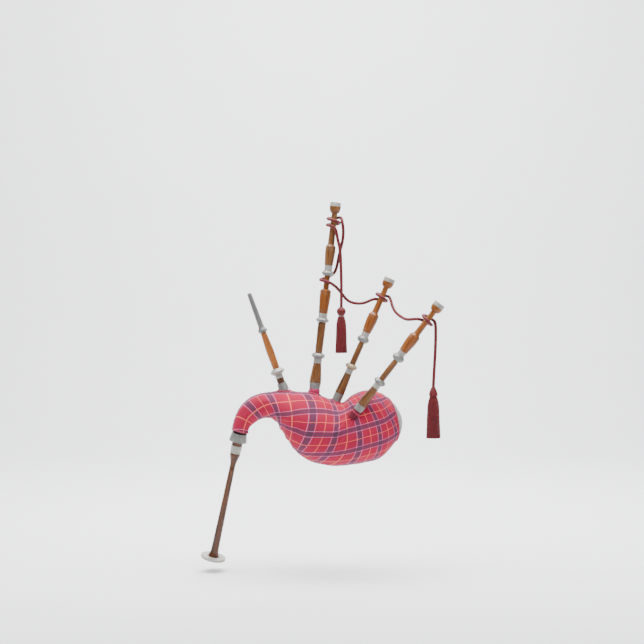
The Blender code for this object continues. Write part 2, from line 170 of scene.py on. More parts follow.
class Shader:
    """A Principled material and short ways to add nodes to it."""

    def __init__(self, name, roughness=0.5):
        self.material = bpy.data.materials.new(name)
        self.material.use_nodes = True
        self.tree = self.material.node_tree
        self.main = self.tree.nodes["Principled BSDF"]
        self.main.inputs["Roughness"].default_value = roughness

    def add(self, kind, inputs=None, **settings):
        made = self.tree.nodes.new("ShaderNode" + kind)
        for key, value in settings.items():
            setattr(made, key, value)
        for key, value in (inputs or {}).items():
            self.put(made.inputs[key], value)
        return made

    def put(self, socket, value):
        """Sets a socket to a value, a display colour's code or another node's output."""
        if isinstance(value, str):
            value = srgb(value)
        if isinstance(value, bpy.types.NodeSocket):
            self.tree.links.new(value, socket)
        else:
            socket.default_value = value

    def set(self, **values):
        for key, value in values.items():
            self.put(self.main.inputs[key.replace("_", " ")], value)

    def math(self, operation, first, second=0.0, clamp=False):
        made = self.add("Math", {0: first, 1: second}, operation=operation, use_clamp=clamp)
        return made.outputs[0]

    def times(self, first, second):
        return self.math("MULTIPLY", first, second)

    def plus(self, first, second):
        return self.math("ADD", first, second)

    def scaled(self, scale, kind="Object"):
        """Object or attribute coordinates, stretched by scale along X, Y and Z."""
        if kind == "Object":
            source = self.add("TexCoord").outputs["Object"]
        else:
            source = self.add("Attribute", attribute_name=kind).outputs["Vector"]
        return self.add("Mapping", {"Vector": source, "Scale": scale}).outputs["Vector"]

    def noise(self, vector, scale, detail=4.0, roughness=0.55, distortion=0.0):
        inputs = {"Vector": vector, "Scale": scale, "Detail": detail, "Roughness": roughness,
                  "Distortion": distortion}
        return self.add("TexNoise", inputs).outputs["Fac"]

    def grain(self, stretch, *settings):
        """Noise in object space, its Z scaled by stretch: below 1 it runs up the pipe."""
        return self.noise(self.scaled((1, 1, stretch)), *settings)

    def ramp(self, factor, stops, constant=False):
        made = self.add("ValToRGB", {"Fac": factor})
        points = made.color_ramp.elements
        if constant:
            made.color_ramp.interpolation = "CONSTANT"
        while len(points) < len(stops):
            points.new(0.5)
        for point, (place, colour) in zip(points, sorted(stops, key=lambda stop: stop[0])):
            point.position = place
            point.color = srgb(colour) if isinstance(colour, str) else colour
        return made.outputs["Color"], made.outputs["Alpha"]

    def mix(self, factor, first, second, blend="MIX"):
        made = self.add("Mix", data_type="RGBA", blend_type=blend)
        self.put(made.inputs[0], factor)
        self.put(made.inputs[6], first)
        self.put(made.inputs[7], second)
        return made.outputs[2]

    def range(self, value, low, high, to_low=0.0, to_high=1.0):
        inputs = {"Value": value, "From Min": low, "From Max": high, "To Min": to_low,
                  "To Max": to_high}
        return self.add("MapRange", inputs).outputs["Result"]

    def bump(self, height, distance, strength=1.0, normal=None):
        inputs = {"Height": height, "Distance": distance, "Strength": strength}
        if normal is not None:
            inputs["Normal"] = normal
        return self.add("Bump", inputs).outputs["Normal"]

    def edges(self, low=0.5, high=0.58):
        """1 on worn outer edges, 0 elsewhere."""
        point = self.add("NewGeometry").outputs["Pointiness"]
        return self.range(point, low, high)


def wood(name, dark, middle, light, worn):
    """Oiled hardwood: long streaks, fine dark pores, worn arrises and a thin varnish."""
    shader = Shader(name, 0.36)
    streaks = shader.grain(0.07, 95, 6, 0.6, 1.2)
    figure = shader.grain(0.3, 22, 3, 0.5, 0.6)
    pores = shader.grain(0.035, 900, 3, 0.6)
    blend = shader.plus(shader.times(streaks, 0.7), shader.times(figure, 0.3))
    colour, _ = shader.ramp(blend, [(0.34, dark), (0.5, middle), (0.66, light)])
    pore = shader.range(pores, 0.58, 0.68)
    colour = shader.mix(shader.times(pore, 0.55), colour, dark)
    colour = shader.mix(shader.times(shader.edges(0.52, 0.6), 0.5), colour, worn)
    height = shader.math("SUBTRACT", streaks, pore)
    shader.set(Base_Color=colour, Roughness=shader.range(streaks, 0.3, 0.7, 0.3, 0.46),
               Normal=shader.bump(height, 0.0002, 0.35))
    shader.set(Coat_Weight=0.08, Coat_Roughness=0.25, Specular_IOR_Level=0.3)
    return shader.material


def turned_horn(name, dark, middle, light, roughness, streak=0.5):
    """Polished imitation horn or ivory: soft cloudy streaks and faint turning lines."""
    shader = Shader(name, roughness)
    cloud = shader.grain(0.45, 60, 5, 0.55, 1.5)
    fine = shader.grain(0.2, 420, 4, 0.6)
    lines = shader.noise(shader.scaled((0.02, 0.02, 1)), 1600, 2, 0.5)
    blend = shader.mix(streak * 0.5, cloud, fine)
    colour, _ = shader.ramp(blend, [(0.36, dark), (0.5, middle), (0.64, light)])
    worn = shader.times(shader.edges(0.52, 0.62), 0.35)
    colour = shader.mix(worn, colour, light)
    shader.set(Base_Color=colour,
               Roughness=shader.range(fine, 0.3, 0.7, roughness - 0.06, roughness + 0.1),
               Normal=shader.bump(lines, 0.00006, 0.3))
    shader.set(Specular_IOR_Level=0.5, Coat_Weight=0.3, Coat_Roughness=0.15)
    return shader.material


def moulded_plastic(name, colour_code, worn):
    """Satin moulded plastic with a fine texture and rubbed edges."""
    shader = Shader(name, 0.42)
    grain = shader.grain(1, 1400, 3)
    smear = shader.grain(0.3, 70, 4)
    colour = shader.mix(shader.times(shader.edges(), 0.5), colour_code, worn)
    colour = shader.mix(shader.range(smear, 0.35, 0.7, 0, 0.25), colour, worn)
    shader.set(Base_Color=colour, Roughness=shader.range(smear, 0.3, 0.7, 0.34, 0.52),
               Normal=shader.bump(grain, 0.00008, 0.25))
    return shader.material


BAND_HALF = 0.17            # tartan stripes, as shares of half a repeat from the band's middle
LILAC = (0.215, 0.262)
SALMON_FROM = 0.968


def tartan(name):
    """Wool tartan: crimson, mauve bands edged with lilac, thin salmon overchecks, 2/2 twill."""
    shader = Shader(name, 0.88)
    crimson, mauve, lilac, salmon = (srgb(c) for c in ("9E1438", "5A3048", "BC6C96", "E46450"))
    weave = shader.add("Attribute", attribute_name="weave").outputs["Vector"]
    split = shader.add("SeparateXYZ", {"Vector": weave})
    clear = (*crimson[:3], 0)
    stops = [(0, mauve), (BAND_HALF, clear), (LILAC[0], lilac), (LILAC[1], clear),
             (SALMON_FROM, salmon)]
    colour = crimson
    masks = []
    for axis in ("X", "Y"):
        away = shader.math("PINGPONG", split.outputs[axis], 0.5)
        stripe, mask = shader.ramp(shader.times(away, 2), stops, constant=True)
        share = shader.times(mask, 0.94 if axis == "X" else 0.86)
        colour = shader.mix(share, colour, stripe)
        masks.append(shader.math("LESS_THAN", away, BAND_HALF / 2))
    crossing = shader.times(masks[0], masks[1])
    colour = shader.mix(shader.times(crossing, 0.45), colour, "4A3040")
    cloth = shader.add("Attribute", attribute_name="cloth").outputs["Vector"]
    place = shader.add("SeparateXYZ", {"Vector": cloth})
    diagonal = shader.plus(place.outputs["X"], place.outputs["Y"])
    twill = shader.math("PINGPONG", shader.times(diagonal, 620), 0.5)
    across = shader.math("SUBTRACT", place.outputs["X"], place.outputs["Y"])
    yarn = shader.math("PINGPONG", shader.times(across, 1050), 0.5)
    fuzz = shader.noise(shader.scaled((1, 1, 1), "cloth"), 2600, 4, 0.7)
    patches = shader.grain(1, 14, 3)
    shade = shader.range(shader.plus(twill, shader.times(fuzz, 0.8)), 0.3, 1.0, 0.8, 1.06)
    shade = shader.times(shade, shader.range(patches, 0.3, 0.7, 0.93, 1.05))
    grey = shader.add("CombineXYZ", {"X": shade, "Y": shade, "Z": shade}).outputs["Vector"]
    colour = shader.mix(1.0, colour, grey, "MULTIPLY")
    height = shader.plus(shader.plus(twill, shader.times(yarn, 0.5)), shader.times(fuzz, 0.7))
    shader.set(Base_Color=colour, Normal=shader.bump(height, 0.0004, 0.55))
    shader.set(Specular_IOR_Level=0.2, Sheen_Weight=0.06, Sheen_Roughness=0.5)
    return shader.material


def plain_cloth(name, colour_code, light):
    """Plain wool cloth with a visible square weave."""
    shader = Shader(name, 0.88)
    threads = shader.scaled((1, 1, 1))
    split = shader.add("SeparateXYZ", {"Vector": threads})
    angle = shader.math("ARCTAN2", split.outputs["Y"], split.outputs["X"])
    round_way = shader.math("PINGPONG", shader.times(angle, 24), 0.5)
    along = shader.math("PINGPONG", shader.times(split.outputs["Z"], 900), 0.5)
    fuzz = shader.noise(threads, 1900, 4, 0.7)
    height = shader.plus(shader.plus(round_way, along), fuzz)
    colour = shader.mix(shader.range(height, 0.5, 1.6), colour_code, light)
    shader.set(Base_Color=colour, Normal=shader.bump(height, 0.0004, 0.5))
    shader.set(Specular_IOR_Level=0.2, Sheen_Weight=0.1)
    return shader.material


def hide(name):
    """Pale dressed hide: fine grain cells, soft blotches and creases."""
    shader = Shader(name, 0.6)
    coords = shader.scaled((1, 1, 1))
    cells = shader.add("TexVoronoi", {"Vector": coords, "Scale": 520}).outputs["Distance"]
    blotch = shader.noise(coords, 18, 5, 0.6)
    creases = shader.grain(0.35, 60, 5, 0.6, 0.8)
    colour, _ = shader.ramp(blotch, [(0.3, "807A7A"), (0.5, "908A8A"), (0.7, "9E9898")])
    colour = shader.mix(shader.range(cells, 0.0, 0.25, 0.22, 0.0), colour, "6A6260")
    height = shader.plus(cells, shader.times(creases, 1.5))
    shader.set(Base_Color=colour, Roughness=shader.range(blotch, 0.3, 0.7, 0.52, 0.7),
               Normal=shader.bump(height, 0.0004, 0.5))
    shader.set(Specular_IOR_Level=0.35)
    return shader.material


def silk(name, dark, light):
    """Twisted silk yarn: fibres along each strand and a soft sheen; reads attribute lay."""
    shader = Shader(name, 0.55)
    lay = shader.add("Attribute", attribute_name="lay").outputs["Vector"]
    stretched = shader.add("Mapping", {"Vector": lay, "Scale": (40, 4, 1)}).outputs["Vector"]
    fibre = shader.noise(stretched, 6, 5, 0.65)
    patches = shader.grain(1, 45, 3)
    colour = shader.mix(shader.range(fibre, 0.3, 0.72), dark, light)
    colour = shader.mix(shader.range(patches, 0.4, 0.75, 0, 0.35), colour, dark)
    shader.set(Base_Color=colour, Roughness=shader.range(fibre, 0.3, 0.7, 0.45, 0.66),
               Normal=shader.bump(fibre, 0.0003, 0.5))
    shader.set(Specular_IOR_Level=0.35, Sheen_Weight=0.1, Sheen_Roughness=0.4)
    return shader.material


def fibrous(name, dark, light, roughness=0.7):
    """Cane, hemp or rubber in small hidden pieces: long fibres with a little relief."""
    shader = Shader(name, roughness)
    fibre = shader.grain(0.12, 700, 5, 0.6)
    colour = shader.mix(shader.range(fibre, 0.3, 0.7), dark, light)
    shader.set(Base_Color=colour, Normal=shader.bump(fibre, 0.0002, 0.4))
    return shader.material


MATERIALS = {
    "brown_wood": wood("brown_wood", "3E2410", "6A421E", "80552C", "946A3C"),
    "amber_wood": wood("amber_wood", "4A2408", "7C4412", "92561E", "A26A34"),
    "light_wood": wood("light_wood", "5A3010", "8A5020", "A0622C", "AE7440"),
    "dark_wood": wood("dark_wood", "281206", "4C2810", "5E3618", "704424"),
    "grey_mount": turned_horn("grey_mount", "5E5E5A", "6B6B67", "787873", 0.34),
    "cream_ferrule": turned_horn("cream_ferrule", "817E74", "8F8C84", "9B9890", 0.36),
    "tan_horn": turned_horn("tan_horn", "806C48", "94815E", "A39270", 0.36),
    "dark_plastic": moulded_plastic("dark_plastic", "565553", "71706D"),
    "tartan": tartan("tartan"),
    "collar_cloth": plain_cloth("collar_cloth", "B4205A", "D8447C"),
    "collar_dark": plain_cloth("collar_dark", "4E0C1C", "721C32"),
    "binding": plain_cloth("binding", "7E1E34", "B0405A"),
    "hide": hide("hide"),
    "cord_silk": silk("cord_silk", "3A050A", "760F17"),
    "tassel_silk": silk("tassel_silk", "3A050A", "760F17"),
    "cane": fibrous("cane", "A98748", "D8BC7C"),
    "hemp": fibrous("hemp", "8E7B48", "CDBB86"),
    "valve_rubber": fibrous("valve_rubber", "1C1C1C", "2E2E2E"),
}


# ---------------------------------------------------------------- meshes

def grid_mesh(name, points, wrap=True, closed_rows=False, flip=False):
    """A mesh through a rows x columns x 3 array of points."""
    rows, columns = points.shape[:2]
    faces = []
    for i in range(rows if closed_rows else rows - 1):
        a = i * columns
        b = (i + 1) % rows * columns
        for j in range(columns if wrap else columns - 1):
            k = (j + 1) % columns
            face = (a + j, a + k, b + k, b + j)
            faces.append(face[::-1] if flip else face)
    mesh = bpy.data.meshes.new(name)
    mesh.from_pydata([tuple(p) for p in points.reshape(-1, 3)], [], faces)
    return mesh


def add_piece(name, mesh, material, node, matrix=None):
    """Puts a mesh in the scene as the looks of a CAD node."""
    piece = bpy.data.objects.new(name, mesh)
    bpy.context.scene.collection.objects.link(piece)
    mesh.materials.append(MATERIALS[material])
    if matrix is not None:
        piece.matrix_world = matrix
    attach(piece, BODY_OF[node])
    return piece


def smooth(mesh, angle=40):
    mesh.shade_smooth()
    mesh.set_sharp_from_angle(angle=math.radians(angle))


@contextmanager
def editing(mesh):
    """The mesh as a bmesh, which is written back at the end."""
    work = bmesh.new()
    work.from_mesh(mesh)
    work.verts.ensure_lookup_table()
    yield work
    work.to_mesh(mesh)
    work.free()


def thickened(piece, thickness):
    """Gives a sheet a wall, all of it on the inner side."""
    wall = piece.modifiers.new("wall", "SOLIDIFY")
    wall.thickness = thickness
    wall.offset = -1


def lengths_along(line):
    """The distance along a line at each of its points."""
    return np.concatenate([[0], np.cumsum(np.linalg.norm(np.diff(line, axis=0), axis=1))])


def sampled(line, lengths, at):
    """The line's points at one distance or several."""
    return np.stack([np.interp(at, lengths, line[:, k]) for k in range(3)], axis=-1)


def on_circle(matrix, angle, radius, height):
    """The point at an angle on a circle about a pipe's axis, in world space."""
    return matrix @ Vector((math.cos(angle) * radius, math.sin(angle) * radius, height))


def silhouette(node, matrix, inside=False):
    """The node's outer, or inner, turned profile as (height, radius) points, top down."""
    places = local_vertices(node, matrix)
    turn = matrix.to_3x3().inverted()
    steps = set()
    for face in frame["nodes"][node].data.polygons:
        corners = [places[i] for i in face.vertices]
        middle = sum(corners, Vector()) / len(corners)
        facing = (turn @ face.normal).dot(Vector((middle.x, middle.y, 0)).normalized())
        if (facing < -0.05) if inside else (facing > 0.05):
            rings = {(round(c.z, 5), round(math.hypot(c.x, c.y), 5)) for c in corners}
            if len(rings) == 2:
                steps.add(tuple(sorted(rings, reverse=True)))
    points = []
    for step in sorted(steps, reverse=True):
        for point in step:
            if point not in points:
                points.append(point)
    return points


def rounded_loop(points, closed=True):
    """Rounds each corner: a small radius on sharp ones, a large one where it turns gently."""
    count = len(points)
    fine = []
    for i, here in enumerate(points):
        if not closed and i in (0, count - 1):
            fine.append(here)
            continue
        before = Vector(points[i - 1]) - Vector(here)
        after = Vector(points[(i + 1) % count]) - Vector(here)
        if min(before.length, after.length) < 1e-6:
            continue
        turn = math.pi - before.angle(after)
        limit = EDGE_RADIUS if turn > SHARP_TURN else SOFT_RADIUS
        cut = min(limit, 0.45 * before.length, 0.45 * after.length)
        start = Vector(here) + before.normalized() * cut
        end = Vector(here) + after.normalized() * cut
        for step in range(CORNER_STEPS + 1):
            t = step / CORNER_STEPS
            point = start * (1 - t) ** 2 + Vector(here) * 2 * t * (1 - t) + end * t * t
            fine.append((point.x, point.y))
    return fine


def grooved(points, stations, width=1.3 * MM, depth=0.45 * MM):
    """Cuts fine turned grooves into an outer profile at the given stations."""
    for station in stations:
        height = -station
        for i, (a, b) in enumerate(zip(points, points[1:])):
            if a[0] - width > height > b[0] + width:
                share = (a[0] - height) / (a[0] - b[0])
                radius = a[1] + (b[1] - a[1]) * share
                half = width / 2
                points = points[:i + 1] + [
                    (height + half, radius), (height + half * 0.4, radius - depth),
                    (height - half * 0.4, radius - depth), (height - half, radius),
                ] + points[i + 1:]
                break
    return points


def lathe_mesh(name, loop, sides=LATHE_SIDES, closed=True, ripple=None):
    """Turns a profile of (height, radius) points about local Z."""
    angles = np.linspace(0, 2 * math.pi, sides, endpoint=False)
    heights = np.array([p[0] for p in loop])[:, None]
    radii = np.array([p[1] for p in loop])[:, None] * np.ones(sides)
    if ripple:
        radii = radii + ripple(heights, angles[None, :], radii)
    points = np.stack([radii * np.cos(angles), radii * np.sin(angles),
                       heights * np.ones(sides)], axis=2)
    mesh = grid_mesh(name, points, closed_rows=closed, flip=True)
    with editing(mesh) as work:
        bmesh.ops.remove_doubles(work, verts=work.verts, dist=1e-6)
        bmesh.ops.recalc_face_normals(work, faces=work.faces)
    smooth(mesh)
    return mesh


# Fine grooves cut in each turned piece, as stations down its pipe in millimetres.
GROOVES = {
    "bass_ring_cap": (4.2, 8.4),
    "bass_top_joint": (40, 43, 118, 121, 138, 141, 144, 180, 183, 186),
    "bass_top_ferrule": (192, 203),
    "bass_middle_joint": (270, 273, 276, 324, 327, 330),
    "bass_middle_ferrule": (337, 345),
    "bass_bottom_joint": (368, 371, 374, 444, 447, 450),
    "bass_stock_ferrule": (473, 482), "bass_stock": (490, 493, 533, 536, 539),
    "bass_stock_ring": (547, 558),
    "chanter_stock_ring": (5, 21), "chanter_stock_ferrule": (43, 59),
    "blowpipe": (130, 133, 231, 234), "blowpipe_stock_ferrule": (263, 268),
    "blowpipe_stock": (274, 283), "blowpipe_stock_ring": (290, 301),
    "mouthpiece": (98, 101, 104),
}
TENOR_GROOVES = {
    "ring_cap": (4, 8), "top_joint": (40, 43, 102, 105, 124, 127, 167, 170, 173),
    "top_ferrule": (179, 187), "bottom_joint": (224, 227, 272, 275), "stock": (317, 320, 366, 369),
    "stock_ferrule": (299, 309), "stock_ring": (380, 392),
}
for tenor in ("inner_tenor", "outer_tenor"):
    for part, stations in TENOR_GROOVES.items():
        GROOVES[f"{tenor}_{part}"] = stations


# Pieces whose wood or horn is of another shade than the rest of their slot.
SPECIAL_MATERIALS = {
    "bass_middle_joint": "amber_wood", "inner_tenor_top_joint": "amber_wood",
    "outer_tenor_top_joint": "amber_wood", "blowpipe": "light_wood",
    "inner_tenor_bottom_mount": "tan_horn", "blowpipe_stock": "dark_wood",
}

# How much further a ring reaches, down to the cloth; the outer stock stops in its collar.
RING_EXTRA = {
    "blowpipe_stock_ring": 5 * MM, "inner_tenor_stock_ring": 6 * MM,
    "outer_tenor_stock": -17 * MM,
}


def make_turned(node):
    """A fine turned piece with the node's own profile, rounded and grooved."""
    matrix = pipe_of(node)
    outer = silhouette(node, matrix)
    inner = silhouette(node, matrix, inside=True)
    extra = RING_EXTRA.get(node, 0)
    if extra:
        outer[-1] = (outer[-1][0] - extra, outer[-1][1])
        inner[-1] = (inner[-1][0] - extra, inner[-1][1])
    if "mount" in node:
        outer = lens_profile(outer)
    if "top_joint" in node:
        outer = cup_profile(outer)
    outer = grooved(outer, [s * MM for s in GROOVES.get(node, ())])
    loop = rounded_loop(outer + inner[::-1])
    material = SPECIAL_MATERIALS.get(node, SLOT_OF[node])
    piece = add_piece(node + "_fine", lathe_mesh(node, loop), material, node, matrix)
    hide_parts(node)
    return piece


def cup_profile(outer):
    """A full, rounded bell under a drone's ring cap, down to the narrow neck."""
    end = next(i for i, (_, radius) in enumerate(outer) if radius < NECK_RADIUS)
    (top, wide), (low, neck) = outer[0], outer[end]
    bell = []
    for step in range(BELL_STEPS + 1):
        angle = math.pi / 2 * step / BELL_STEPS
        bell.append((top - (top - low) * math.sin(angle) ** 1.1,
                     neck + (wide - neck) * math.cos(angle) ** 0.8))
    return bell + outer[end + 1:]


def lens_profile(outer):
    """A mount's lens: convex faces that meet in a thin rounded rim."""
    top, bottom = outer[0], outer[-1]
    widest = max(radius for _, radius in outer)
    height = top[0] - bottom[0]
    profile = []
    for share in np.linspace(0, 1, 23):
        rim = top[1] + (bottom[1] - top[1]) * share
        away = abs(2 * share - 1)
        swell = (1 - away ** LENS_POWER) if away < 0.97 else 0
        profile.append((top[0] - share * height, rim + (widest - rim) * swell))
    return profile


# ---------------------------------------------------------------- chanter

def make_chanter():
    """The chanter's long taper, with cups round its finger holes."""
    node = "chanter"
    matrix = pipe_of(node)
    places = local_vertices(node, matrix)
    top = max(p.z for p in places)
    bottom = min(p.z for p in places)
    stock_end = min(p.z for p in local_vertices("chanter_stock_ferrule", matrix))
    length = stock_end - bottom
    shares = [(0, 15.3), (0.012, 15.5), (0.028, 14.9), (0.05, 12.8), (0.075, 10.2), (0.1, 8.9),
              (0.13, 8.4), (0.4, 9.2), (0.7, 10.4), (0.93, 11.5), (0.955, 12.2), (0.975, 13.6),
              (0.99, 15.6), (1, 17)]
    outer = [(top, 11 * MM), (stock_end - 0.0003, 11 * MM)]
    outer += [(stock_end - 0.0004 - (length - 0.0004) * share, r * MM) for share, r in shares]
    stations = (78, 81, 98, 101, 104, 355, 358, 361)
    outer = grooved(outer, [s * MM for s in stations])
    loop = rounded_loop(outer + [(bottom, 9 * MM), (bottom + 0.19, 5 * MM), (top, 2.5 * MM)])
    piece = add_piece("chanter_fine", lathe_mesh(node, loop, FINE_SIDES), "dark_wood", node, matrix)
    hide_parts(node)
    holes = [(130 + 29 * i, 90, 2.6) for i in range(7)]
    holes += [(113, 270, 2.6), (345, 0, 3.1), (345, 180, 3.1)]
    for index, (station, bearing, radius) in enumerate(holes):
        cut_hole(piece, matrix, f"chanter_hole_{index}", station * MM, bearing, radius * MM)


def cut_hole(piece, matrix, name, station, bearing, radius):
    """Cuts a finger hole with a dished mouth through one wall, then drops the cutter."""
    mesh = bpy.data.meshes.new(name)
    facing = Matrix.Rotation(math.radians(bearing), 4, "Z") @ Matrix.Rotation(math.pi / 2, 4, "Y")
    place = Matrix.Translation((0, 0, -station)) @ facing @ Matrix.Translation((0, 0, 11 * MM))
    with editing(mesh) as work:
        bmesh.ops.create_cone(work, cap_ends=True, segments=32, radius1=radius,
                              radius2=radius * 1.5, depth=18 * MM, matrix=place)
    tool = bpy.data.objects.new(name, mesh)
    bpy.context.scene.collection.objects.link(tool)
    tool.matrix_world = matrix
    boolean = piece.modifiers.new(name, "BOOLEAN")
    boolean.object = tool
    boolean.solver = "EXACT"
    bpy.context.view_layer.update()
    depsgraph = bpy.context.evaluated_depsgraph_get()
    result = bpy.data.meshes.new_from_object(piece.evaluated_get(depsgraph))
    piece.modifiers.remove(boolean)
    piece.data = result
    smooth(result)
    bpy.data.objects.remove(tool)


# ---------------------------------------------------------------- bag

# The bag's sections from neck to tail, as in the CAD part, in millimetres: outer edge
# (x, z), inner edge (x, z), half thickness and the turn of its plane in degrees.
COVER_SECTIONS = [
    ((-324, 0), (-277, -11), 25, 0),
    ((-319, 27), (-271, 7), 26, 0),
    ((-305, 63), (-256, 20), 29, 0),
    ((-277, 94), (-236, 32), 36, 0),
    ((-243, 110), (-213, 36), 44, 0),
    ((-209, 115), (-190, 26), 53, 0),
    ((-176, 117), (-171, -5), 62, 0),
    ((-136, 116), (-140, -54), 72, 0),
    ((-94, 112), (-112, -80), 79, 0),
    ((-48, 99), (-80, -97), 83, 0),
    ((2, 80), (-30, -107), 85, 0),
    ((38, 106), (22, -106), 86, 0),
    ((78, 119), (72, -98), 83, 4),
    ((118, 113), (122, -82), 74, 10),
    ((143, 98), (168, -30), 60, 16),
]
TAIL_SECTIONS = [
    ((158, 86), (177, -20), 46, 16),
    ((172, 66), (184, 2), 28, 16),
    ((181, 48), (186, 20), 12, 16),
]
# Where the middles of the tartan's cross bands lie, counted in sections from the neck.
CROSS_BANDS = (-2, 0, 3, 5.33, 8.46, 9.96, 11.5, 12.6, 13.6, 14.5)
# At each section: how far round from the top edge (degrees) four lengthwise bands run, and
# how far (mm) the cross bands bow towards the neck at both edges, and at the top alone.
PATTERN = [
    (5, 215, 300, 360, 5, 5),
    (5, 212, 295, 355, 5, 5),
    (8, 190, 280, 345, 5, 5),
    (12, 178, 250, 325, 5, 5),
    (14, 152, 205, 285, 8, 8),
    (17, 120, 162, 232, 12, 12),
    (17, 95, 127, 192, 18, 10),
    (16, 73, 106, 163, 35, 0),
    (13, 62, 102, 148, 56, -14),
    (5, 52, 94, 134, 50, -12),
    (-3, 42, 85, 123, 48, -6),
    (5, 47, 86, 122, 58, 15),
    (4, 46, 85, 119, 60, 28),
    (-8, 35, 78, 116, 46, 24),
    (-45, 10, 68, 125, 54, 26),
]
STRIPE_REPEAT = 66          # between lengthwise bands past the four that are placed
HIDE_INSET = 5.6
COVER_ROWS = 200
COVER_COLUMNS = 160
HIDE_ROWS = 180
HIDE_COLUMNS = 120


def catmull(values, samples):
    """Even samples of a Catmull-Rom curve through rows of values; u runs from 0 to 1."""
    count = len(values) - 1
    padded = np.vstack([2 * values[0] - values[1], values, 2 * values[-1] - values[-2]])
    u = np.clip(samples, 0, 1) * count
    index = np.minimum(u.astype(int), count - 1)
    t = (u - index)[:, None]
    a, b, c, d = (padded[index + k] for k in range(4))
    return 0.5 * (2 * b + (c - a) * t + (2 * a - 5 * b + 4 * c - d) * t ** 2
                  + (3 * b - a - 3 * c + d) * t ** 3)


def loft(sections, rows, columns, inset=0.0):
    """Points (rows x columns x 3, metres) of a bag lofted through its sections."""
    rows_of_values = [(*top, *bottom, half, turn) for top, bottom, half, turn in sections]
    values = catmull(np.array(rows_of_values, float), np.linspace(0, 1, rows))
    turns = np.linspace(0, 2 * math.pi, columns, endpoint=False)
    top = np.stack([values[:, 0], 0 * values[:, 0], values[:, 1]], axis=1)
    bottom = np.stack([values[:, 2], 0 * values[:, 2], values[:, 3]], axis=1)
    middle = (top + bottom) / 2
    half = (top - bottom) / 2
    reach = np.linalg.norm(half, axis=1, keepdims=True)
    up = half / reach * (reach - inset)
    angle = np.radians(values[:, 5])
    front = np.stack([np.sin(angle), -np.cos(angle), 0 * angle], axis=1)
    front = front * (values[:, 4:5] - inset)
    points = (middle[:, None] + up[:, None] * np.cos(turns)[None, :, None]
              + front[:, None] * np.sin(turns)[None, :, None])
    return points * MM, turns


def grid_normals(points):
    """Outward normals of a lofted grid."""
    along = np.gradient(points, axis=0)
    around = np.roll(points, -1, axis=1) - np.roll(points, 1, axis=1)
    normals = np.cross(around, along)
    return normals / np.maximum(np.linalg.norm(normals, axis=2, keepdims=True), 1e-9)


def eased(at, knots, values):
    """A smooth rising curve through the knots, straight beyond the first and the last."""
    knots = np.asarray(knots, float)
    values = np.asarray(values, float)
    widths = np.diff(knots)
    rises = np.diff(values) / widths
    slopes = np.concatenate([rises[:1], 2 / (1 / rises[:-1] + 1 / rises[1:]), rises[-1:]])
    i = np.clip(np.searchsorted(knots, at) - 1, 0, len(widths) - 1)
    t = np.clip((at - knots[i]) / widths[i], 0, 1)
    inside = ((2 * t ** 3 - 3 * t ** 2 + 1) * values[i] + (3 * t ** 2 - 2 * t ** 3) * values[i + 1]
              + widths[i] * ((t ** 3 - 2 * t ** 2 + t) * slopes[i]
                             + (t ** 3 - t ** 2) * slopes[i + 1]))
    below = np.minimum(at - knots[0], 0) * slopes[0]
    return inside + below + np.maximum(at - knots[-1], 0) * slopes[-1]


def cloth_coordinates(points, turns):
    """Tartan repeats (weave) and metres along and round the cloth (cloth) for each point."""
    rows, columns = points.shape[:2]
    front_line = points[:, columns // 4]
    along = lengths_along(front_line)
    last = len(COVER_SECTIONS) - 1
    sections = np.linspace(0, last, rows)
    pace = along[-1] / last
    band_arcs = [np.interp(band, sections, along) + pace * (min(band, 0) + max(band - last, 0))
                 for band in CROSS_BANDS]
    pattern = catmull(np.array(PATTERN, float), np.linspace(0, 1, rows))
    bow = pattern[:, 4:5] * (1 - np.abs(np.sin(turns))) + pattern[:, 5:6] * np.cos(turns)
    across = eased(along[:, None] + bow * MM, band_arcs, range(len(CROSS_BANDS)))
    steps = np.linalg.norm(np.roll(points, -1, axis=1) - points, axis=2)
    half = columns // 2
    arc = np.concatenate([np.zeros((rows, 1)), np.cumsum(steps, axis=1)[:, :-1]], axis=1)
    total = steps[:, :half].sum(axis=1, keepdims=True)
    arc = np.where(np.arange(columns) <= half, arc, 2 * total - arc)
    panel = np.degrees(np.minimum(turns, 2 * math.pi - turns))
    stripes = np.empty((rows, columns))
    for row in range(rows):
        places = pattern[row, :4]
        repeat = STRIPE_REPEAT * MM / total[row, 0] * 180
        knots = [places[0] - repeat, *places, places[-1] + repeat]
        stripes[row] = eased(panel, knots, range(len(knots)))
    weave = np.stack([across, stripes, 0 * across], axis=2)
    cloth = np.stack([along[:, None] * np.ones(columns), arc, 0 * across], axis=2)
    return weave, cloth


STOCK_ENTRIES = {
    "bass": "bass_cover_collar", "inner_tenor": "inner_tenor_stock_ring",
    "outer_tenor": "outer_tenor_cover_collar", "blowpipe": "blowpipe_stock_ring",
}
HEM_RADIUS = 2.2 * MM
HEM_STEPS = 48
HEM_SEARCH = 45 * MM        # how far up a stock the search for the cloth starts
HEM_SEARCH_LENGTH = 120 * MM
HOLE_REACH = 24 * MM        # how far along a stock its hole in the cloth is looked for
HOLE_REACH_SLANTING = 9 * MM
HOLE_SHARE = 0.72           # of the stock's radius
SEAM_DEPTH = 1.6 * MM
SEAM_WIDTH = 2.2 * MM
PUCKER_HEIGHT = 0.7 * MM
PUCKER_PITCH = 12.5 * MM
PUCKER_REACH = 12 * MM      # how far from the seam the puckers die out
NECK_BEND_AT = 0.17         # along the bag's spine, from the neck
NECK_BEND_REACH = 55 * MM
FOLD_HEIGHT = 1.6 * MM
NECK_FOLD_PITCH = 26 * MM
STOCK_FOLDS = 11
STOCK_FOLD_REACH = 20 * MM
STOCK_LIFT = 3.5 * MM       # the cloth is drawn up round each stock
STOCK_LIFT_REACH = 9 * MM
WAVE_HEIGHT = 1.6 * MM
